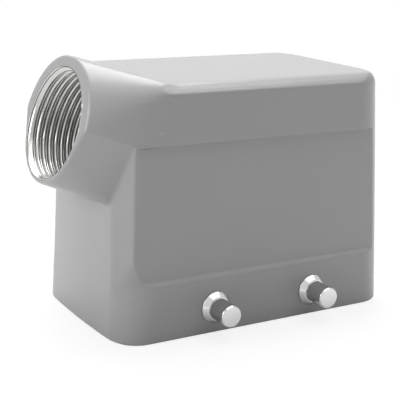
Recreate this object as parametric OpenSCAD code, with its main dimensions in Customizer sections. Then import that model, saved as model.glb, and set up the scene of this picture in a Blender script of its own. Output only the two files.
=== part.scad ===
// Heavy duty rectangular connector: a cast hood with an angled, threaded cable entry and four
// locking pegs, holding a ten-pole pin insert with screw terminals and two earth terminals.
// Millimetres. The origin is the centre of the hood's rim, +Z is up, away from the mating side,
// X runs along the hood with the cable entry at -X, and Y runs across it.

/* [Hood body] */
// Length of the hood at its rim
rim_l = 73; // [66:0.5:84]
// Width of the hood at its rim
rim_w = 43; // [39:0.25:48]
// Height of the flat top above the rim
hood_h = 56; // [54:0.5:66]
// Vertical corner radius at the rim
rim_r = 7.5; // [5:0.25:9]
// Vertical corner radius just below the top edge, at the closed end
top_r = 10.5; // [8:0.25:12]
// Length that the slanted cable-end corners take from each long side
slant_x = 3.8; // [3:0.1:5]
// Width that they take from the end wall at the rim
slant_y0 = 4.1; // [3:0.1:6]
// Width that they take from the end wall at the top
slant_y1 = 10.6; // [6:0.1:11]
// Radius of the two soft edges of each slanted corner
slant_r = 2.2; // [1.5:0.1:3]
// How far each end wall leans in from the rim to the top
end_draft = 2.4; // [1:0.1:3]
// Roll of the top edge along the two end walls
end_roll = 4.2; // [3:0.1:5]
// Width of the chamfer along the two long top edges
side_chamfer = 1.9; // [1:0.1:2.5]
// Thickness of the long walls and of the top
wall = 3.2; // [2.6:0.1:3.4]
// Thickness of the end walls
end_wall = 3.4; // [2.8:0.1:3.6]

/* [Side panels] */
// Depth of the shallow panel sunk in each long side
panel_d = 0.95; // [0.5:0.05:1.2]
// Height of the panel's lower edge
panel_z0 = 13.2; // [12:0.1:16]
// Height of the sloped shelf under the panel
panel_shelf = 1.1; // [0.6:0.1:1.6]
// Height of the panel's upper edge
panel_z1 = 43.2; // [40:0.1:45]

/* [Cable entry] */
// Tilt of the entry axis above the horizontal, in degrees
entry_tilt = 16.3; // [12:0.1:20]
// Distance from the middle of the hood to the centre of the entry's mouth
entry_x = 42.5; // [41:0.25:45]
// Height of the centre of the entry's mouth
entry_z = 45.8; // [44:0.1:48]
// Radius of the entry's bore, at the crests of its M25 thread
entry_bore_r = 11.7; // [9.5:0.05:12]
// Widening of the bore at its mouth
entry_lead = 0.85; // [0.5:0.05:1]
// Length of the threaded bore
entry_l = 13; // [11:0.25:14]
// Half width of the boss at its mouth, measured at the crease
boss_half_w = 15.2; // [14.5:0.05:15.6]
// Height of the boss's roof above the entry's axis
boss_roof_h = 14.8; // [14.2:0.05:15.2]
// Radius of the boss's lower half at its mouth
boss_floor_r = 13.4; // [13.2:0.05:14.2]
// Rounding of the boss's outer edge at its mouth
boss_round = 0.5; // [0.3:0.1:1]

/* [Locking pegs] */
// Distance between the two pegs on a side
peg_pitch = 26.2; // [24:0.1:30]
// Height of the pegs above the rim
peg_z = 6.1; // [5.5:0.1:7]
// Radius of a peg's shaft
peg_r = 2.3; // [2:0.05:2.6]
// How far a peg stands out of the hood
peg_out = 6.7; // [5:0.1:8]
// Radius of the collar turned on a peg
collar_r = 3.4; // [3:0.05:3.8]
// Thickness of the collar
collar_t = 1.5; // [1:0.1:2]

/* [Insert] */
// Gap between the insert and each end wall of the hood
insert_gap_x = 1.1; // [0.5:0.1:2]
// Gap between the insert and each long wall of the hood
insert_gap_y = 1.3; // [0.5:0.1:2]
// How far an earth plate stands out of each end of the carrier
plate_reach = 8.5; // [8:0.1:9.5]
// Height of the carrier's wiring side above the rim
carrier_z1 = 27; // [26:0.25:27.5]
// Thickness of the floor that holds the contacts
carrier_floor = 5; // [4:0.25:6]
// How far the shroud round the pins is set in from the carrier's long sides
shroud_step = 2; // [1.5:0.1:2.5]
// Thickness of the shroud's wall
shroud_wall = 1.5; // [1.2:0.1:1.8]
// Height of the shroud's mouth above the rim
shroud_z0 = 1; // [0.5:0.1:1.5]
// Height of the seat on which the insert is screwed, above the rim
seat_z = 9; // [8.5:0.25:10]
// Distance of the fixing screws from the insert's edges
fixing_inset = 3.5; // [3.2:0.1:3.8]

/* [Contacts] */
// Number of contacts in each row
columns = 5; // [3:1:5]
// Distance between contacts along a row
contact_pitch = 8.2; // [7.8:0.1:8.4]
// Distance between the two rows
row_pitch = 14; // [13.5:0.1:14.5]
// Radius of a contact pin
pin_r = 1.25; // [1:0.05:1.4]
// Height of a pin's tip above the rim
pin_z0 = 2.6; // [2:0.1:4]
// Width of a contact's clamp along its row
clamp_l = 5.6; // [5:0.1:5.8]
// Width of a contact's clamp across its row
clamp_w = 7.6; // [7:0.1:7.8]
// Height of a contact's clamp
clamp_h = 10; // [8.5:0.25:10.5]
// Radius of a contact's wire bore
wire_r = 1.6; // [1.2:0.05:1.7]

/* [Screws] */
// Radius of the captive fixing screws
fixing_r = 2; // [1.8:0.05:2]
// Radius of the terminal screws
terminal_r = 1.5; // [1.2:0.05:1.6]
// Radius of the earth terminals' screws
earth_r = 1.75; // [1.5:0.05:1.9]
// Thickness of the earth plates
plate_t = 2; // [1.5:0.1:2]
// Thickness of the lock washers under the fixing screws
washer_t = 0.8; // [0.6:0.1:1]

/* [Hidden] */
slip = 0.1;             // gap round a piece that is pushed into its pocket
turn = 0.05;            // gap round a screw or peg in its hole
eps = 0.01;             // thickness of a section that hull() joins
cut = 1;                // how far a cutting shape runs past the face it cuts
hull_fn = 32;           // roundness of the sections that hull() joins
round_fn = 48;          // roundness of turned and drilled shapes

panel_w = rim_w - 2 * panel_d;                  // width between the two side panels
slant_top_l = slant_x - end_draft;              // what the slanted corners take at the top
crease_v = 0.9;                                 // height of the boss's crease above its axis
roof_x = 26.2;                                  // where the boss has run out in the upper band
knee_x = rim_l / 2 - slant_x + 0.4;             // where the boss passes over the panel's end
knee_w = panel_w / 2;                           // half width of the boss there
band_h = hood_h - panel_z1;                     // height of the upper band
boss_z0 = 29.8;                                 // height at which the boss leaves the end wall
boss_lean = 6;                                  // how far its flanks lean in down to there

cavity_l = rim_l - 2 * end_wall;
cavity_w = rim_w - 2 * wall;
cavity_r = rim_r - 3;
cavity_z1 = hood_h - wall;
post_r = fixing_r + 2.2;
post_z1 = carrier_z1 - 1;
post_hole_l = 10.5;

insert_l = cavity_l - 2 * insert_gap_x;
insert_w = cavity_w - 2 * insert_gap_y;
carrier_l = insert_l - 2 * plate_reach;
shroud_w = insert_w - 2 * shroud_step;
fixing_x = insert_l / 2 - fixing_inset;
fixing_y = insert_w / 2 - fixing_inset;
plate_z0 = seat_z - plate_t;
plate_grip = 1.2;                               // how far a plate reaches into the carrier
washer_r = fixing_r + 1.5;
fixing_head_r = washer_r;
fixing_head_h = 2.5;
fixing_neck_r = fixing_r - 0.45;
fixing_tip_z = seat_z + post_hole_l - 1;

row_y = row_pitch / 2;
clamp_z0 = seat_z + carrier_floor;
clamp_z1 = clamp_z0 + clamp_h;
wire_depth = 8;
wire_in = 0.8;                                  // how far the wire bore lies inside the pin
terminal_z = clamp_z0 + 5;
terminal_head_r = terminal_r + 1;
terminal_head_h = 1.6;
terminal_l = 3.6;
terminal_gap = 1;                               // travel left under a terminal screw's head

earth_block_l = 5.5;
earth_block_w = 7;
earth_block_h = 10;
earth_block_x = carrier_l / 2 + 0.5;
earth_wire_x = earth_block_x + 2.3;
earth_screw_z = seat_z + 6;
earth_head_r = earth_r + 1.1;
earth_head_h = 1.5;
blade_t = 0.8;
blade_w = 6;
blade_z0 = 3;

slot_w = 0.9;
slot_d = 0.9;

contact_ids = [for (i = [1 : 2 * columns]) i];

// ---- placing -------------------------------------------------------------------------------

// Sign of the side, along X and along Y, on which one of four like pieces sits
function side_x(i) = i % 2 == 1 ? -1 : 1;
function side_y(i) = i <= 2 ? -1 : 1;

// Place of a contact: odd numbers and even numbers share the two rows
function contact_x(i) = (floor((i - 1) / 2) - (columns - 1) / 2) * contact_pitch;
function contact_side(i) = i % 2 == 1 ? -1 : 1;

// Moves its children to the entry's mouth: their +Z points out of the bore, their +X upwards
module at_entry() {
    translate([-entry_x, 0, entry_z]) rotate([0, entry_tilt - 90, 0]) children();
}

// Mirrors its children into the four corners of the hood
module four_corners(x, y) {
    for (mx = [0, 1]) for (my = [0, 1])
        mirror([mx, 0, 0]) mirror([0, my, 0]) translate([x, y, 0]) children();
}

// ---- outlines ------------------------------------------------------------------------------

// A rectangle with round corners, centred
module round_rect(l, w, r, fn = hull_fn) {
    for (x = [r - l / 2, l / 2 - r]) for (y = [r - w / 2, w / 2 - r])
        translate([x, y]) circle(r, $fn = fn);
    square([l - 2 * r, w], center = true);
    square([l, w - 2 * r], center = true);
}

// A thin section of the body at height z, its ends and its sides set in by ix and iy: round
// corners at the closed end, and slanted ones with soft edges at the cable end
module body_section(z, ix = 0, iy = 0) {
    t = z / hood_h;
    l = rim_l / 2 - end_draft * t - ix;
    w = rim_w / 2 - iy;
    r = rim_r + (top_r - rim_r) * t - (ix + iy) / 2;
    slant_l = slant_x + (slant_top_l - slant_x) * t;
    slant_w = slant_y0 + (slant_y1 - slant_y0) * t;
    lean = atan(slant_l / slant_w);
    translate([0, 0, z]) linear_extrude(eps) for (side = [-1, 1]) {
        translate([l - r, side * (w - r)]) circle(r, $fn = hull_fn);
        translate([slant_r - l, side * (w - slant_w - slant_r * tan(lean / 2))])
            circle(slant_r, $fn = hull_fn);
        translate([slant_l - l + slant_r * tan(45 - lean / 2), side * (w - slant_r)])
            circle(slant_r, $fn = hull_fn);
    }
}

// The boss's section above its crease, set in by inset from its full outline
module roof_section(inset = 0) {
    w = boss_half_w - inset;
    intersection() {
        scale([(boss_roof_h - inset) / w, 1]) circle(w, $fn = 2 * hull_fn);
        translate([crease_v, -w]) square([w, 2 * w]);
    }
}

// The same below it: a round underside, and flanks that lean out from it to the crease
module floor_section(inset = 0) {
    w = boss_half_w - inset;
    circle(boss_floor_r - inset, $fn = 2 * hull_fn);
    translate([crease_v - eps, -w]) square([eps, 2 * w]);
}

// ---- hood ----------------------------------------------------------------------------------

// The drafted body: its ends roll over into the top, its long edges are chamfered
module body_block() {
    roll = [for (a = [0 : 22.5 : 90]) [end_roll * (1 - cos(a)), end_roll * (1 - sin(a))]];
    hull() {
        body_section(0);
        for (p = roll)
            body_section(hood_h - eps - p[1], p[0], max(0, side_chamfer - p[1]));
    }
}

// What is cut from the +Y side: the sunk panel with its sloped shelf
module side_cut() {
    translate([-rim_l, 0, 0]) rotate([90, 0, 90]) linear_extrude(2 * rim_l)
        polygon([
            [panel_w / 2, panel_z0 + panel_shelf], [rim_w / 2, panel_z0],
            [rim_w / 2 + cut, panel_z0], [rim_w / 2 + cut, panel_z1], [panel_w / 2, panel_z1]
        ]);
}

// Above the crease the mouth's arch flares out to the upper band and the flat top
module boss_roof() {
    hull() {
        at_entry() {
            translate([0, 0, -eps]) linear_extrude(eps) roof_section(boss_round);
            translate([0, 0, -boss_round]) linear_extrude(eps) roof_section();
        }
        translate([-knee_x, -knee_w, panel_z1]) cube([eps, 2 * knee_w, eps]);
        translate([-roof_x, 0, panel_z1]) rotate([90, 0, 90]) linear_extrude(eps)
            polygon([
                [-rim_w / 2, 0], [-rim_w / 2, band_h - side_chamfer],
                [side_chamfer - rim_w / 2, band_h], [rim_w / 2 - side_chamfer, band_h],
                [rim_w / 2, band_h - side_chamfer], [rim_w / 2, 0]
            ]);
    }
}

// Below the crease the mouth is drawn to the end wall, with flanks that lean in downwards
module boss_floor() {
    hull() {
        at_entry() {
            translate([0, 0, -eps]) linear_extrude(eps) floor_section(boss_round);
            translate([0, 0, -boss_round]) linear_extrude(eps) floor_section();
        }
        translate([-knee_x, 0, boss_z0]) rotate([90, 0, 90]) linear_extrude(cut)
            polygon([
                [boss_lean - knee_w, 0], [-knee_w, panel_z1 - boss_z0],
                [knee_w, panel_z1 - boss_z0], [knee_w - boss_lean, 0]
            ]);
    }
}

// The hollow for the wiring, which leaves the threaded sleeve of the cable entry standing
module cavity() {
    difference() {
        hull() {
            translate([0, 0, -cut]) linear_extrude(eps) round_rect(cavity_l, cavity_w, cavity_r);
            translate([0, 0, cavity_z1 - 2]) linear_extrude(eps)
                round_rect(cavity_l - 2 * end_draft, cavity_w, cavity_r + 2);
            translate([0, 0, cavity_z1]) linear_extrude(eps)
                round_rect(cavity_l - 2 * end_draft - 5, cavity_w - 5, cavity_r);
        }
        at_entry() translate([0, 0, -entry_l]) cylinder(entry_l, r = boss_roof_h, $fn = 64);
        four_corners(fixing_x, fixing_y) fixing_post();
    }
}

// A post for a fixing screw, filled out to the hood's corner behind it
module fixing_post() {
    reach = rim_l / 2 - fixing_x;
    translate([0, 0, seat_z]) {
        cylinder(post_z1 - seat_z, r = post_r, $fn = round_fn);
        cube([reach, reach, post_z1 - seat_z]);
    }
}

module hood_shell() {
    color("silver") difference() {
        union() {
            difference() {
                body_block();
                side_cut();
                mirror([0, 1, 0]) side_cut();
                translate([-rim_l, -rim_w, panel_z1]) cube([rim_l - roof_x, 2 * rim_w, hood_h]);
            }
            boss_roof();
            boss_floor();
        }
        cavity();
        at_entry() {
            translate([0, 0, -entry_l - cut])
                cylinder(entry_l + 2 * cut, r = entry_bore_r, $fn = 96);
            translate([0, 0, -entry_lead])
                cylinder(entry_lead + eps, r1 = entry_bore_r, r2 = entry_bore_r + entry_lead,
                    $fn = 96);
        }
        four_corners(fixing_x, fixing_y) translate([0, 0, seat_z - cut])
            cylinder(post_hole_l + cut, r = fixing_r + turn, $fn = round_fn);
        for (x = [-1, 1]) translate([x * peg_pitch / 2, rim_w, peg_z])
            rotate([90, 0, 0]) cylinder(2 * rim_w, r = peg_r + turn, $fn = round_fn);
    }
}

// ---- pegs ----------------------------------------------------------------------------------

// A turned peg along +Z: shank through the wall, collar, shaft, neck and flat end disc
module locking_peg(i) {
    neck = 0.25;
    bevel = 0.3;
    disc_t = 1;
    color("gainsboro")
    translate([side_x(i) * peg_pitch / 2, side_y(i) * rim_w / 2, peg_z])
        rotate([-90 * side_y(i), 0, 0]) rotate_extrude($fn = round_fn) polygon([
            [0, -wall], [peg_r, -wall], [peg_r, 0], [collar_r, 0], [collar_r, collar_t - 1],
            [peg_r + 0.25, collar_t], [peg_r, collar_t], [peg_r, peg_out - disc_t - 2 * neck],
            [peg_r - neck, peg_out - disc_t - neck], [peg_r - neck, peg_out - disc_t],
            [peg_r, peg_out - disc_t], [peg_r, peg_out - bevel], [peg_r - bevel, peg_out],
            [0, peg_out]
        ]);
}

// ---- insert --------------------------------------------------------------------------------

module insert_carrier() {
    inner_l = carrier_l - 2 * shroud_wall;
    inner_w = shroud_w - 2 * shroud_wall;
    color("lightgray") difference() {
        union() {
            translate([0, 0, seat_z]) linear_extrude(carrier_z1 - seat_z)
                round_rect(carrier_l, insert_w, 1, round_fn);
            translate([0, 0, shroud_z0]) linear_extrude(seat_z - shroud_z0)
                round_rect(carrier_l, shroud_w, 2.5, round_fn);
        }
        // room for the mating insert, with a key rib left at each end
        translate([0, 0, shroud_z0 - cut]) linear_extrude(seat_z - shroud_z0 + cut)
            difference() {
                round_rect(inner_l, inner_w, 1.2, round_fn);
                for (x = [-1, 1]) translate([x * inner_l / 2, x * inner_w / 4])
                    square([2, 1.6], center = true);
            }
        // grooves that grip the earth plates
        for (x = [-1, 1]) translate([x * carrier_l / 2, 0, plate_z0 + plate_t / 2])
            cube([2 * (plate_grip + slip), insert_w + cut, plate_t], center = true);
        for (i = contact_ids) contact_room(i);
    }
}

// Pocket, pin hole and screw access for one contact
module contact_room(i) {
    s = contact_side(i);
    translate([contact_x(i), s * row_y, 0]) {
        translate([-clamp_l / 2 - slip, -clamp_w / 2 - slip, clamp_z0])
            cube([clamp_l + 2 * slip, clamp_w + 2 * slip, carrier_z1 - clamp_z0 + cut]);
        translate([0, 0, seat_z - cut])
            cylinder(carrier_floor + 2 * cut, r = pin_r + slip, $fn = round_fn);
        translate([0, s * clamp_w / 2, terminal_z]) rotate([-90 * s, 0, 0])
            cylinder(insert_w, r = terminal_head_r + 0.3, $fn = round_fn);
    }
}

// A pin with the clamp behind it, bored for the wire and for its screw
module pin_contact(i) {
    s = contact_side(i);
    bevel = 0.6;
    color("goldenrod") translate([contact_x(i), s * row_y, 0]) difference() {
        union() {
            translate([-clamp_l / 2, -clamp_w / 2, clamp_z0])
                cube([clamp_l, clamp_w, clamp_h]);
            rotate_extrude($fn = round_fn) polygon([
                [0, pin_z0], [pin_r - bevel, pin_z0], [pin_r, pin_z0 + 2 * bevel],
                [pin_r, clamp_z0 + eps], [0, clamp_z0 + eps]
            ]);
        }
        translate([0, -s * wire_in, clamp_z1 - wire_depth])
            cylinder(wire_depth + cut, r = wire_r, $fn = round_fn);
        translate([0, -s * wire_in, terminal_z]) rotate([-90 * s, 0, 0])
            cylinder(clamp_w, r = terminal_r + turn, $fn = round_fn);
    }
}

// A slotted cheese head screw along +Z, its head's seat at z = 0 and its tip at -l
module slotted_screw(r, l, head_r, head_h, neck_r, neck_l) {
    bevel = 0.3;
    difference() {
        rotate_extrude($fn = round_fn) polygon([
            [0, -l], [r - bevel, -l], [r, bevel - l], [r, -neck_l], [neck_r, -neck_l],
            [neck_r, 0], [head_r, 0], [head_r, head_h - bevel], [head_r - bevel, head_h],
            [0, head_h]
        ]);
        translate([-head_r, -slot_w / 2, head_h - slot_d]) cube([2 * head_r, slot_w, slot_d + cut]);
    }
}

module terminal_screw(i) {
    s = contact_side(i);
    color("silver")
    translate([contact_x(i), s * (row_y + clamp_w / 2 + terminal_gap), terminal_z])
        rotate([-90 * s, 0, 0])
            slotted_screw(terminal_r, terminal_l, terminal_head_r, terminal_head_h,
                terminal_r - 0.3, terminal_gap);
}

// The plate that carries two fixing screws, with the earth clamp and the earth blade
module earth_terminal(i) {
    plate_x0 = carrier_l / 2 - plate_grip;
    color("gainsboro") mirror([i == 1 ? 1 : 0, 0, 0]) difference() {
        union() {
            translate([plate_x0, -insert_w / 2, plate_z0]) linear_extrude(plate_t)
                translate([(insert_l / 2 - plate_x0) / 2, insert_w / 2])
                    round_rect(insert_l / 2 - plate_x0, insert_w, 1, round_fn);
            translate([earth_block_x, -earth_block_w / 2, seat_z - eps])
                cube([earth_block_l, earth_block_w, earth_block_h + eps]);
            translate([carrier_l / 2 + slip, -blade_w / 2, blade_z0])
                cube([blade_t, blade_w, plate_z0 - blade_z0 + eps]);
        }
        translate([earth_wire_x, 0, seat_z + 2]) cylinder(earth_block_h, r = 1.7, $fn = round_fn);
        translate([earth_wire_x, 0, earth_screw_z]) rotate([0, 90, 0])
            cylinder(earth_block_l, r = earth_r + turn, $fn = round_fn);
        for (y = [-1, 1]) translate([fixing_x, y * fixing_y, plate_z0 - cut])
            cylinder(plate_t + 2 * cut, r = fixing_r + slip, $fn = round_fn);
    }
}

module earth_screw(i) {
    color("silver") mirror([i == 1 ? 1 : 0, 0, 0])
        translate([earth_block_x + earth_block_l + 0.3, 0, earth_screw_z]) rotate([0, 90, 0])
            slotted_screw(earth_r, 2, earth_head_r, earth_head_h, earth_r, 0.3);
}

module fixing_screw(i) {
    color("silver")
    translate([side_x(i) * fixing_x, side_y(i) * fixing_y, plate_z0 - washer_t])
        rotate([180, 0, 0])
            slotted_screw(fixing_r, fixing_tip_z - plate_z0 + washer_t, fixing_head_r,
                fixing_head_h, fixing_neck_r, washer_t + plate_t + 0.6);
}

// A split spring washer
module lock_washer(i) {
    split = 0.7;
    color("gray")
    translate([side_x(i) * fixing_x, side_y(i) * fixing_y, plate_z0 - washer_t]) difference() {
        cylinder(washer_t, r = washer_r, $fn = round_fn);
        translate([0, 0, -cut]) cylinder(washer_t + 2 * cut, r = fixing_r + slip, $fn = round_fn);
        translate([0, -split / 2, -cut]) cube([washer_r + cut, split, washer_t + 2 * cut]);
    }
}

hood_shell();
insert_carrier();
for (i = [1:4]) locking_peg(i);
for (i = contact_ids) pin_contact(i);
for (i = contact_ids) terminal_screw(i);
for (i = [1:2]) earth_terminal(i);
for (i = [1:2]) earth_screw(i);
for (i = [1:4]) fixing_screw(i);
for (i = [1:4]) lock_washer(i);
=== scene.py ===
import math

import bpy
import numpy as np
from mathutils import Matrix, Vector


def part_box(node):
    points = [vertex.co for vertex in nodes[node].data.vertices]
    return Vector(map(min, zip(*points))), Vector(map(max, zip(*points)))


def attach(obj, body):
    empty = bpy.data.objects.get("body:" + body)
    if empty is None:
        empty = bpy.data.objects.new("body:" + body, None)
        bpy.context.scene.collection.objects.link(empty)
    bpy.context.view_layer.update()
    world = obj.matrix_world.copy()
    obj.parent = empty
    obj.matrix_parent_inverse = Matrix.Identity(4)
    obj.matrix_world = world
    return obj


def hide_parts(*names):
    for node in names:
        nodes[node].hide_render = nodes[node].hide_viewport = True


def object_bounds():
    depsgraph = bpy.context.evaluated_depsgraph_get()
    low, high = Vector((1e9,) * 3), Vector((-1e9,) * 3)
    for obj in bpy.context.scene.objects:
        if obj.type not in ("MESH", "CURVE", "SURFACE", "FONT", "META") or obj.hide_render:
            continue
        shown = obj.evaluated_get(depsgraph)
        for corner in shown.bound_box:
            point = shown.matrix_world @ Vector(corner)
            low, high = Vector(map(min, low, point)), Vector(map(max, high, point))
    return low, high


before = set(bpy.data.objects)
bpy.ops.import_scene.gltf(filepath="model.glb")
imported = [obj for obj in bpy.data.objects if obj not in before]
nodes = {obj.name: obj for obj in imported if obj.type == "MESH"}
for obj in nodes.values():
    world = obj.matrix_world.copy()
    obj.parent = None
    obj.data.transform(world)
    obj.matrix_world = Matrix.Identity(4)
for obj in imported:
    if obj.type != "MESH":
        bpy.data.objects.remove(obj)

cad_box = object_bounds()
MM = 0.001
HOOD_BODY = "hood"


# ---- camera --------------------------------------------------------------------------------

def make_camera():
    """A long lens in front of the near long side, on the side of the cable entry."""
    data = bpy.data.cameras.new("camera")
    data.lens, data.sensor_width = 94.711, 36.0
    data.clip_start, data.clip_end = 0.01, 20.0
    camera = bpy.data.objects.new("camera", data)
    camera.location = (-0.130214, -0.206883, 0.088941)
    camera.rotation_euler = [math.radians(turn) for turn in (75.0594509, -1.7014305,
                                                              -30.7374292)]
    bpy.context.scene.collection.objects.link(camera)
    bpy.context.scene.camera = camera


# ---- meshes --------------------------------------------------------------------------------

def add_piece(name, points, faces, material, normals=None):
    """Puts points in millimetres and faces into a smooth mesh that rides on the hood."""
    mesh = bpy.data.meshes.new(name)
    faces = faces.tolist() if isinstance(faces, np.ndarray) else faces
    mesh.from_pydata((points * MM).tolist(), [], faces)
    mesh.validate()
    mesh.polygons.foreach_set("use_smooth", np.ones(len(mesh.polygons), bool))
    if normals is not None:
        mesh.normals_split_custom_set_from_vertices(normals.tolist())
    mesh.materials.append(material)
    mesh.update()
    piece = bpy.data.objects.new(name, mesh)
    bpy.context.scene.collection.objects.link(piece)
    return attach(piece, HOOD_BODY)


def steps(*bands):
    """Grid positions through bands of (start, end, step), each step rounded to fit its band."""
    parts = [np.linspace(a, b, max(1, round((b - a) / s)), endpoint=False) for a, b, s in bands]
    return np.concatenate(parts + [[bands[-1][1]]])


def round_corner(a, b, r, c=0.0):
    """Intersection of two half spaces at signed distances a and b, their edge rounded to
    radius r; c is the cosine between their normals."""
    a1, b1 = a + r, b + r
    at_edge = (a1 > c * b1) & (b1 > c * a1)
    reach = np.sqrt(np.maximum(a1 * a1 + b1 * b1 - 2 * c * a1 * b1, 0) / (1 - c * c))
    return np.where(at_edge, reach, np.maximum(a1, b1)) - r


def fillet(a, b, r, c=0.0):
    """Union of two solids at signed distances a and b, the groove between them filled to
    radius r."""
    return -round_corner(-a, -b, r, c)


# ---- hood ----------------------------------------------------------------------------------

HALF_L, HALF_W, TOP = 36.5, 21.5, 56.0
END_DRAFT, END_CURVE = 3.2, 0.6               # closed end: straight draft, and its growth upwards
END_ROUND, END_ROUND_GAIN = 7.4, 1.7          # its corners at the rim, and their gain at the top
WALL_X, WALL_DRAFT, WALL_BOW = 36.07, 1.0, 0.0022    # cable end's wall, at its two corners
SLANT_X, SLANT_Y, SLANT_LEAN, SLANT_TOP = 33.2, 16.05, 0.053, 32
SLANT_ROUND, SIDE_ROUND = 3.0, 2.6            # edges of the slanted corners, above the ledge
FOOT_H = 12                                   # below this the slanted corners turn round
PANEL_W, PANEL_LOW, PANEL_SHELF, PANEL_HIGH = 20.55, 13.2, 0.55, 43.2
CHAMFER, TOP_ROLL, END_ROLL = 1.9, 3.8, 4.2
EDGE = 0.5                                    # rounding of the plain edges
TILT = math.radians(16.3)
MOUTH_X, MOUTH_Z, MOUTH_HALF = -42.5, 45.8, 15.5
ROOF, FLOOR = 14.8, 13.4
FLARE_L, FLARE_POWER, BAND_START = 15.4, 1.75, 14.3
CREASE_V, CREASE_FALL = 1.0, 0.055            # crease above the bore's axis, and its fall
FLANK_LEAN, FLANK_RUN, BOSS_L = 0.504, 11.5, 18
BORE_R, THREAD_R, BORE_L = 11.7, 12.5, 13.0
SPACE_L, SPACE_W, SPACE_TOP, SPACE_DRAFT = 33.1, 18.3, 52.8, 2.4
POST_X, POST_Y, POST_R, POST_LOW, POST_TOP = 28.5, 13.5, 4.2, 9, 26
TOP_COS, ROLL_COS, FLANK_COS = 0.707, 0.7, 0.893     # cosines between the faces that meet


def entry_frame(x, z):
    """Depth behind the mouth, along the bore's axis, and height above that axis."""
    rx, rz = x - MOUTH_X, z - MOUTH_Z
    return (rx * math.cos(TILT) - rz * math.sin(TILT),
            rx * math.sin(TILT) + rz * math.cos(TILT))


def top_bevel(y, z):
    """Distance outside the plane at 45 degrees that cuts the long top edge."""
    return (np.abs(y) - HALF_W + z - TOP + CHAMFER) / math.sqrt(2)


def body_field(x, y, z):
    """The drafted box: round corners at the closed end; at the cable end a slightly bowed wall
    and slanted corners that turn into round ones at the rim; long top edges that roll into a
    chamfer, and ends that roll into the top."""
    t = z / TOP
    low = np.clip((FOOT_H - z) / FOOT_H, 0, 1)
    ay = np.abs(y)
    side = ay - HALF_W
    half_l = HALF_L - END_DRAFT * t - END_CURVE * t * t
    r = END_ROUND + END_ROUND_GAIN * t
    closed = round_corner(x - half_l, side, r)
    edge_y = SLANT_Y - SLANT_LEAN * np.minimum(z, SLANT_TOP) + 0.85 * low
    edge_x = WALL_X - WALL_DRAFT * t
    end = -x - edge_x - WALL_BOW * (edge_y ** 2 - y ** 2)
    corner_x = SLANT_X + 0.4 * low
    run_x, run_y = edge_x - corner_x, PANEL_W - edge_y
    diagonal = np.hypot(run_x, run_y)
    slant = ((-x - corner_x) * run_y + (ay - PANEL_W) * run_x) / diagonal
    soft = SIDE_ROUND + 7.4 * np.clip((19 - z) / 6, 0, 1) - 3.4 * low
    cable = round_corner(round_corner(end, slant, SLANT_ROUND + 5 * low, run_y / diagonal),
                         side, soft, run_x / diagonal)
    plan = np.where(x > 0, closed, cable)
    turn = np.where(x > 0, np.clip((x - half_l + r) / r, 0, 1), 0)
    lid = round_corner(z - TOP, top_bevel(y, z), TOP_ROLL, TOP_COS)
    field = round_corner(plan, lid, EDGE + (END_ROLL - EDGE) * turn, ROLL_COS * (1 - turn))
    field = round_corner(field, -z, EDGE)
    w, _ = entry_frame(x, z)
    return np.maximum(field, np.minimum(BAND_START - w, z - PANEL_HIGH - 0.3))


def boss_field(x, y, z):
    """The cable entry: an arch at the mouth that flares out to the upper band above a crease,
    and a round underside with leaning flanks below it."""
    w, v = entry_frame(x, z)
    ay = np.abs(y)
    u = np.clip(w / FLARE_L, 0, 1)
    half = HALF_W - (HALF_W - MOUTH_HALF) * (1 - u) ** FLARE_POWER
    crease = CREASE_V - CREASE_FALL * np.clip(w, 0, FLARE_L)
    upper = round_corner(ay - half, v - ROOF, 15 * (1 - u) + 0.8 * u)
    s = np.clip(w / FLANK_RUN, 0, 1)
    flank = (ay - half - FLANK_LEAN * (v - crease)) * FLANK_COS
    lower = round_corner(flank, -FLOOR - v, FLOOR * (1 - s) + 1.5 * s, 0.45)
    section = round_corner(upper, lower, EDGE, FLANK_COS)
    section = round_corner(section, top_bevel(y, z), 0.6, ROLL_COS)
    return np.maximum(round_corner(section, -w, EDGE), w - BOSS_L)


def hollow_field(x, y, z):
    """The wiring space, less the sleeve of the bore and the four posts of the fixing screws."""
    t = np.clip(z / 50.8, 0, 1.1)
    ax, ay = np.abs(x), np.abs(y)
    field = round_corner(ax - SPACE_L + SPACE_DRAFT * t, ay - SPACE_W, 4.5 + 2 * t)
    field = round_corner(field, z - SPACE_TOP, 2.5)
    w, v = entry_frame(x, z)
    field = np.maximum(field, -np.maximum(np.hypot(y, v) - ROOF, w - BORE_L))
    px, py = ax - POST_X, ay - POST_Y
    post = np.minimum(np.hypot(px, py) - POST_R, np.maximum(-px, -py))
    return np.maximum(field, -np.maximum(post, np.maximum(POST_LOW - z, z - POST_TOP)))


def hood_field(x, y, z):
    """Signed distance, near enough, to the cast hood: negative inside the metal."""
    blend = 0.08 + 0.6 * np.clip((PANEL_HIGH + 1 - z) / 3, 0, 1)
    solid = fillet(body_field(x, y, z), boss_field(x, y, z), blend, 0.3)
    ay = np.abs(y)
    slope = math.hypot(PANEL_SHELF, HALF_W - PANEL_W)
    shelf = -((ay - HALF_W) * PANEL_SHELF + (z - PANEL_LOW) * (HALF_W - PANEL_W)) / slope
    panel = round_corner(np.maximum(PANEL_W - ay, shelf), z - PANEL_HIGH, 0.25)
    solid = round_corner(solid, -panel, 0.3, 0.3)
    solid = round_corner(solid, -hollow_field(x, y, z), 0.4)
    w, v = entry_frame(x, z)
    return np.maximum(solid, -np.maximum(np.hypot(y, v) - THREAD_R, w - BORE_L - 1))


def gradient(field, p, h=0.02):
    """Slope of a field at points p, by central differences."""
    g = np.empty_like(p)
    for k in range(3):
        d = np.zeros(3)
        d[k] = h
        g[:, k] = (field(*(p + d).T) - field(*(p - d).T)) / (2 * h)
    return g


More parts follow.
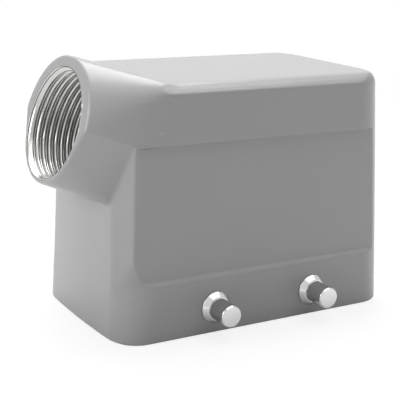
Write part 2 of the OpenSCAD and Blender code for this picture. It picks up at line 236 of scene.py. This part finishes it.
def surface_net(field, gx, gy, gz, rounds=4):
    """Mesh of the surface where a field is zero: one point in each grid cell that it crosses,
    at the mean of its crossings with the cell's edges, then moved onto the surface by Newton
    steps and evened out along it; one face round each grid edge that it crosses."""
    f = field(*np.meshgrid(gx, gy, gz, indexing="ij"))
    inside = f < 0
    shape = tuple(n - 1 for n in f.shape)
    total, count = np.zeros(shape + (3,)), np.zeros(shape)
    grid = (gx, gy, gz)
    for axis in range(3):
        lo = [slice(None)] * 3
        hi = [slice(None)] * 3
        lo[axis], hi[axis] = slice(0, -1), slice(1, None)
        fa, fb = f[tuple(lo)], f[tuple(hi)]
        cross = inside[tuple(lo)] != inside[tuple(hi)]
        part = np.where(cross, fa / np.where(cross, fa - fb, 1), 0)
        others = [k for k in range(3) if k != axis]
        for da in (0, 1):
            for db in (0, 1):
                cut = [slice(None)] * 3
                cut[others[0]] = slice(da, shape[others[0]] + da)
                cut[others[1]] = slice(db, shape[others[1]] + db)
                c, t = cross[tuple(cut)], part[tuple(cut)]
                for k in range(3):
                    form = [1, 1, 1]
                    form[k] = shape[k]
                    if k == axis:
                        at = grid[k][:-1].reshape(form) + t * np.diff(grid[k]).reshape(form)
                    else:
                        shift = da if k == others[0] else db
                        at = np.broadcast_to(grid[k][shift:shape[k] + shift].reshape(form),
                                             shape)
                    total[..., k] += np.where(c, at, 0)
                count += c
    used = count > 0
    number = np.full(shape, -1)
    number[used] = np.arange(used.sum())
    points = total[used] / count[used][:, None]
    faces = []
    for axis in range(3):
        others = [(axis + 1) % 3, (axis + 2) % 3]
        lo = [slice(1, -1)] * 3
        hi = [slice(1, -1)] * 3
        lo[axis], hi[axis] = slice(0, -1), slice(1, None)
        a_in, b_in = inside[tuple(lo)], inside[tuple(hi)]
        ring = []
        for da, db in ((0, 0), (1, 0), (1, 1), (0, 1)):
            cell = [slice(None)] * 3
            cell[others[0]] = slice(da, shape[others[0]] - 1 + da)
            cell[others[1]] = slice(db, shape[others[1]] - 1 + db)
            ring.append(number[tuple(cell)])
        ring = np.stack(ring, -1)
        faces += [ring[a_in & ~b_in], ring[~a_in & b_in][:, ::-1]]
    faces = np.concatenate(faces)
    edges = np.concatenate([faces[:, [k, (k + 1) % 4]] for k in range(4)])
    degree = np.maximum(np.bincount(edges[:, 0], minlength=len(points)), 1)[:, None]
    for n in range(rounds):
        g = gradient(field, points)
        size = np.maximum((g * g).sum(1), 0.05)
        step = g * np.clip(field(*points.T) / size, -0.4, 0.4)[:, None]
        points = points - step
        if n < rounds - 2:
            mean = np.stack([np.bincount(edges[:, 0], points[edges[:, 1], k], len(points))
                             for k in range(3)], 1) / degree
            normal = g / np.sqrt(size)[:, None]
            move = 0.4 * (mean - points)
            points = points + move - normal * (move * normal).sum(1)[:, None]
    g = gradient(field, points)
    return points, faces, g / np.linalg.norm(g, axis=1)[:, None]


def make_hood(material):
    """The casting, on a grid that is fine where its edges and the boss are."""
    x = steps((-46.5, -26, 0.42), (-26, -22, 0.7), (-22, 24, 1.9), (24, 37.3, 0.6))
    y = steps((0, 12, 1.0), (12, 17, 0.55), (17, 22.3, 0.38))
    y = np.concatenate([-y[:0:-1], y])
    z = steps((-0.8, 1.4, 0.37), (1.4, 12.4, 1.6), (12.4, 15.2, 0.28), (15.2, 28, 1.4),
              (28, 42.4, 0.55), (42.4, 44.2, 0.28), (44.2, 51, 0.55), (51, 61.6, 0.42))
    points, faces, normals = surface_net(hood_field, x, y, z)
    hood = add_piece("hood_casting", points, faces, material, normals)
    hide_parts("hood_shell")
    return hood


# ---- cable entry's thread ------------------------------------------------------------------

def ring_faces(rows, columns, closed_rows=False):
    """Faces of a grid whose columns close on themselves, and its rows too where asked."""
    i, j = np.meshgrid(np.arange(rows if closed_rows else rows - 1), np.arange(columns),
                       indexing="ij")
    i, j = i.ravel(), j.ravel()
    i2, j2 = (i + 1) % rows, (j + 1) % columns
    return np.stack([i * columns + j, i2 * columns + j, i2 * columns + j2, i * columns + j2], 1)


def make_thread(material):
    """The cut thread of the bore: radius as a clipped triangle wave of the depth along the
    axis plus one pitch for each turn round it, opened out by a lead-in at the mouth, on a thin
    sleeve whose outer wall lies inside the casting."""
    pitch, around, lead_in = 1.5, 160, 0.55
    depth = steps((0.02, 1.2, 0.06), (1.2, BORE_L, 0.12))
    angle = np.arange(around) * 2 * math.pi / around
    s, a = np.meshgrid(depth, angle, indexing="ij")
    wave = np.abs(((s / pitch + a / (2 * math.pi)) % 1) - 0.5) * 2
    radius = THREAD_R - 0.02 - (THREAD_R - BORE_R) * np.clip(wave * 1.25 - 0.12, 0, 1)
    radius = np.maximum(radius, THREAD_R - 0.01 - s * lead_in)
    outer = np.full((1, around), THREAD_R + 0.2)
    s = np.concatenate([s, s[-1:], s[:1] + 0.3])
    radius = np.concatenate([radius, outer, outer])
    a = np.concatenate([a, a[:2]])
    v, side = radius * np.cos(a), radius * np.sin(a)
    points = np.stack([MOUTH_X + s * math.cos(TILT) + v * math.sin(TILT), side,
                       MOUTH_Z - s * math.sin(TILT) + v * math.cos(TILT)], -1).reshape(-1, 3)
    faces = ring_faces(len(s), around, closed_rows=True)
    thread = add_piece("entry_thread", points, faces, material)
    return thread


# ---- pegs ----------------------------------------------------------------------------------

def lathe(profile, around=96):
    """A profile of (radius, height) turned about its height, each end closed on the axis."""
    profile = np.array(profile, float)
    angle = np.arange(around) * 2 * math.pi / around
    r, h = profile[1:-1, 0][:, None], profile[1:-1, 1][:, None]
    ring = np.stack([r * np.cos(angle), r * np.sin(angle), h + 0 * angle], -1).reshape(-1, 3)
    points = np.concatenate([ring, [[0, 0, profile[0, 1]], [0, 0, profile[-1, 1]]]])
    faces = ring_faces(len(profile) - 2, around)[:, ::-1].tolist()
    last = len(ring) - around
    j = np.arange(around)
    k = (j + 1) % around
    faces += np.stack([k, j, np.full(around, len(ring))], 1).tolist()
    faces += np.stack([last + j, last + k, np.full(around, len(ring) + 1)], 1).tolist()
    return points, faces


def soften(profile, r=0.08, count=4):
    """Rounds each inner corner of a profile to about radius r with count points."""
    p = np.array(profile, float)
    out = [p[0]]
    for before, here, after in zip(p[:-2], p[1:-1], p[2:]):
        to_a, to_b = before - here, after - here
        la, lb = np.hypot(*to_a), np.hypot(*to_b)
        cut = min(r, 0.45 * la, 0.45 * lb)
        start, end = here + to_a / la * cut, here + to_b / lb * cut
        t = np.linspace(0, 1, count)[:, None]
        out += list((1 - t) ** 2 * start + 2 * t * (1 - t) * here + t ** 2 * end)
    return out + [p[-1]]


def make_peg(index, material):
    """A turned and plated peg: spigot in the wall, chamfered collar, shaft, chamfered end."""
    name = f"locking_peg_{index}"
    low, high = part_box(name)
    centre = (np.array(low) + np.array(high)) / 2 / MM
    sign = math.copysign(1, centre[1])
    profile = [(0, -3.5), (2.0, -3.5), (2.3, -3.2), (2.3, -0.4), (3.65, -0.4), (3.65, 0.4),
               (2.72, 1.45), (2.48, 1.45), (2.48, 6.6), (2.22, 6.95), (0, 6.95)]
    points, faces = lathe(soften(profile))
    across, up, out = points.T
    placed = np.stack([centre[0] + sign * across, sign * (HALF_W + out), centre[2] + up], 1)
    piece = add_piece(f"peg_{index}", placed, faces, material)
    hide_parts(name)
    return piece


# ---- materials -----------------------------------------------------------------------------

class Tree:
    """A small helper that adds nodes to a node tree and links them."""

    def __init__(self, tree):
        self.tree = tree

    def add(self, kind, settings=None, **inputs):
        node = self.tree.nodes.new(kind)
        for key, value in (settings or {}).items():
            setattr(node, key, value)
        for key, value in inputs.items():
            self.put(node.inputs[key.replace("_", " ")], value)
        return node

    def put(self, socket, value):
        if isinstance(value, bpy.types.NodeSocket):
            self.tree.links.new(value, socket)
        elif isinstance(value, bpy.types.Node):
            self.tree.links.new(value.outputs[0], socket)
        else:
            socket.default_value = value

    def math(self, operation, a, b=0.0, c=0.0):
        node = self.tree.nodes.new("ShaderNodeMath")
        node.operation = operation
        for socket, value in zip(node.inputs, (a, b, c)):
            self.put(socket, value)
        return node.outputs[0]

    def spread(self, value, low, high, to_low=0.0, to_high=1.0):
        node = self.tree.nodes.new("ShaderNodeMapRange")
        for socket, v in zip(node.inputs, (value, low, high, to_low, to_high)):
            self.put(socket, v)
        return node.outputs[0]

    def mix(self, factor, a, b):
        node = self.tree.nodes.new("ShaderNodeMix")
        node.data_type = "RGBA"
        self.put(node.inputs["Factor"], factor)
        self.put(node.inputs["A"], a)
        self.put(node.inputs["B"], b)
        return node.outputs["Result"]


def new_group(name, inputs, outputs):
    """An empty node group: inputs as (name, type, value), outputs as (name, type)."""
    tree = bpy.data.node_groups.new(name, "ShaderNodeTree")
    for label, kind, value in inputs:
        socket = tree.interface.new_socket(label, in_out="INPUT", socket_type=kind)
        socket.default_value = value
    for label, kind in outputs:
        tree.interface.new_socket(label, in_out="OUTPUT", socket_type=kind)
    t = Tree(tree)
    return tree, t, t.add("NodeGroupInput"), t.add("NodeGroupOutput")


FLOAT, COLOR = "NodeSocketFloat", "NodeSocketColor"


def make_texture_group():
    """Uneven finish: a fine and a broad noise that vary the colour and the roughness, and the
    height of the fine one."""
    tree, t, given, out = new_group(
        "uneven_finish",
        [("Color", COLOR, (0.5, 0.5, 0.5, 1)), ("Scale", FLOAT, 1000.0),
         ("Variation", FLOAT, 0.05), ("Roughness", FLOAT, 0.4)],
        [("Color", COLOR), ("Roughness", FLOAT), ("Height", FLOAT)])
    place = t.add("ShaderNodeTexCoord").outputs["Object"]
    fine = t.add("ShaderNodeTexNoise", Vector=place, Scale=given.outputs["Scale"],
                 Detail=2.0, Roughness=0.5)
    broad = t.add("ShaderNodeTexNoise", Vector=place, Scale=60.0, Detail=3.0, Roughness=0.55)
    fine_share = 0.4
    both = t.math("ADD", t.math("MULTIPLY", fine.outputs["Fac"], fine_share),
                  t.math("MULTIPLY", broad.outputs["Fac"], 1 - fine_share))
    swing = t.math("MULTIPLY", t.math("SUBTRACT", both, 0.5), given.outputs["Variation"])
    shade = t.math("ADD", t.math("MULTIPLY", swing, 2.0), 1.0)
    colour = t.add("ShaderNodeVectorMath", {"operation": "SCALE"})
    t.put(colour.inputs[0], given.outputs["Color"])
    t.put(colour.inputs["Scale"], shade)
    t.put(out.inputs["Color"], colour.outputs["Vector"])
    t.put(out.inputs["Roughness"], t.math("ADD", given.outputs["Roughness"], swing))
    t.put(out.inputs["Height"], fine.outputs["Fac"])
    return tree


def new_material(name):
    """A material with only its output and a Principled BSDF."""
    material = bpy.data.materials.new(name)
    material.use_nodes = True
    t = Tree(material.node_tree)
    shader = material.node_tree.nodes["Principled BSDF"]
    return material, t, shader


def finish_material(name, group, colour, scale, variation, roughness, bump, metallic=0.0):
    """A material whose colour, roughness and fine relief come from the uneven finish."""
    material, t, shader = new_material(name)
    look = t.add("ShaderNodeGroup", {"node_tree": group}, Color=(*colour, 1), Scale=scale,
                 Variation=variation, Roughness=roughness)
    relief = t.add("ShaderNodeBump", Strength=bump, Distance=0.0001,
                   Height=look.outputs["Height"])
    t.put(shader.inputs["Base Color"], look.outputs["Color"])
    t.put(shader.inputs["Roughness"], look.outputs["Roughness"])
    t.put(shader.inputs["Normal"], relief)
    shader.inputs["Metallic"].default_value = metallic
    return material, t, shader


def make_hood_coat(group):
    """Grey powder coat with a fine orange peel and a slight gloss over it."""
    material, t, shader = finish_material(
        "powder_coat", group, (0.215, 0.215, 0.217), 1500.0, 0.05, 0.46, 0.28)
    shader.inputs["Coat Weight"].default_value = 0.4
    shader.inputs["Coat Roughness"].default_value = 0.12
    place = t.add("ShaderNodeTexCoord").outputs["Object"]
    peel = t.add("ShaderNodeTexNoise", Vector=place, Scale=2600.0, Detail=1.5, Roughness=0.5)
    relief = t.add("ShaderNodeBump", Strength=0.7, Distance=0.0001,
                   Height=peel.outputs["Fac"])
    t.put(shader.inputs["Coat Normal"], relief)
    return material


def make_floor_material():
    """Pale floor, nearly white to the camera, that keeps the object's soft shadow."""
    material, t, shader = new_material("pale_floor")
    shader.inputs["Roughness"].default_value = 0.9
    shader.inputs["Specular IOR Level"].default_value = 0.1
    place = t.add("ShaderNodeTexCoord").outputs["Object"]
    grain = t.add("ShaderNodeTexNoise", Vector=place, Scale=30.0, Detail=2.0)
    t.put(shader.inputs["Base Color"],
          t.mix(grain.outputs["Fac"], (0.74, 0.74, 0.74, 1), (0.78, 0.78, 0.78, 1)))
    rays = t.add("ShaderNodeLightPath")
    glow = t.add("ShaderNodeEmission", Color=(1, 1, 1, 1), Strength=1.0)
    away = t.add("ShaderNodeVectorMath", {"operation": "LENGTH"})
    t.put(away.inputs[0], place)
    fade = t.spread(away.outputs["Value"], 0.07, 0.3, 0.8, 1.0)
    seen = t.math("MULTIPLY", rays.outputs["Is Camera Ray"], fade)
    both = t.add("ShaderNodeMixShader")
    t.put(both.inputs[0], seen)
    t.put(both.inputs[1], shader.outputs[0])
    t.put(both.inputs[2], glow)
    out = material.node_tree.nodes["Material Output"]
    t.put(out.inputs["Surface"], both)
    return material


# ---- studio --------------------------------------------------------------------------------

def make_floor(material):
    """A wide floor under the rim: a disc of rings that widen outwards."""
    around, gap = 64, 0.00005
    low = cad_box[0][2] - gap
    radius = np.array([0.02, 0.1, 0.3, 0.7, 1.5])
    angle = np.arange(around) * 2 * math.pi / around
    r, a = np.meshgrid(radius, angle, indexing="ij")
    ring = np.stack([r * np.cos(a), r * np.sin(a), np.full_like(r, low)], -1)
    mesh = bpy.data.meshes.new("floor")
    points = ring.reshape(-1, 3)
    faces = ring_faces(len(radius), around).tolist() + [list(range(around))]
    mesh.from_pydata(points.tolist(), [], faces)
    mesh.materials.append(material)
    floor = bpy.data.objects.new("floor", mesh)
    bpy.context.scene.collection.objects.link(floor)


def add_lamp(name, direction, distance, size, power):
    """A square soft box that looks at the middle of the hood."""
    data = bpy.data.lights.new(name, "AREA")
    data.shape, data.size, data.energy = "SQUARE", size, power
    lamp = bpy.data.objects.new(name, data)
    back = np.array(direction, float) / np.linalg.norm(direction)
    lamp.location = tuple(back * distance + np.array([0, 0, 0.03]))
    lamp.rotation_euler = Vector(back).to_track_quat("Z", "Y").to_euler()
    bpy.context.scene.collection.objects.link(lamp)


def make_world():
    """White to the camera, to gloss and through glass; a plain grey to diffuse light."""
    world = bpy.data.worlds.new("studio")
    world.use_nodes = True
    bpy.context.scene.world = world
    t = Tree(world.node_tree)
    rays = t.add("ShaderNodeLightPath")
    seen = t.math("MAXIMUM", rays.outputs["Is Camera Ray"],
                  t.math("MAXIMUM", rays.outputs["Is Glossy Ray"],
                         rays.outputs["Is Transmission Ray"]))
    shade = world.node_tree.nodes["Background"]
    t.put(shade.inputs["Color"], t.mix(seen, (0.42, 0.42, 0.42, 1), (1, 1, 1, 1)))
    shade.inputs["Strength"].default_value = 1.0


# ---- building ------------------------------------------------------------------------------

make_camera()
make_world()
add_lamp("overhead_box", (0.05, -0.12, 1.0), 1.2, 1.3, 8.0)
add_lamp("rear_box", (0.1, 0.5, 1.0), 1.2, 1.0, 16.4)
add_lamp("left_box", (-1.0, 0.1, 0.45), 1.2, 0.6, 7.4)
add_lamp("small_lamp", (0.5, -0.05, 0.86), 1.2, 0.22, 1.6)

uneven = make_texture_group()
coat = make_hood_coat(uneven)
# name: colour, scale and share of the unevenness, roughness, relief, metallic
FINISHES = {
    "machined_alloy": ((0.44, 0.44, 0.43), 3000.0, 0.08, 0.24, 0.1, 1.0),
    "plated_steel": ((0.58, 0.58, 0.59), 3000.0, 0.08, 0.18, 0.06, 1.0),
    "moulded_plastic": ((0.55, 0.55, 0.53), 2500.0, 0.06, 0.5, 0.15, 0.0),
    "silver_plating": ((0.80, 0.77, 0.70), 3000.0, 0.08, 0.24, 0.06, 1.0),
    "zinc_plate": ((0.66, 0.66, 0.65), 2000.0, 0.1, 0.3, 0.1, 1.0),
    "zinc_screw": ((0.70, 0.70, 0.71), 2500.0, 0.1, 0.26, 0.08, 1.0),
    "spring_steel": ((0.45, 0.45, 0.46), 2500.0, 0.1, 0.32, 0.1, 1.0)}
finish = {name: finish_material(name, uneven, *values)[0] for name, values in FINISHES.items()}

NODE_MATERIALS = {
    "insert_carrier": finish["moulded_plastic"], "pin_contact": finish["silver_plating"],
    "earth_terminal": finish["zinc_plate"], "terminal_screw": finish["zinc_screw"],
    "earth_screw": finish["zinc_screw"], "fixing_screw": finish["zinc_screw"],
    "lock_washer": finish["spring_steel"], "hood_shell": coat,
    "locking_peg": finish["plated_steel"]}
for name, node in nodes.items():
    for start, material in NODE_MATERIALS.items():
        if name.startswith(start):
            for place in node.material_slots:
                place.material = material

make_hood(coat)
make_thread(finish["machined_alloy"])
for number in (1, 2, 3, 4):
    make_peg(number, finish["plated_steel"])
make_floor(make_floor_material())

bpy.context.scene.view_settings.view_transform = "Standard"
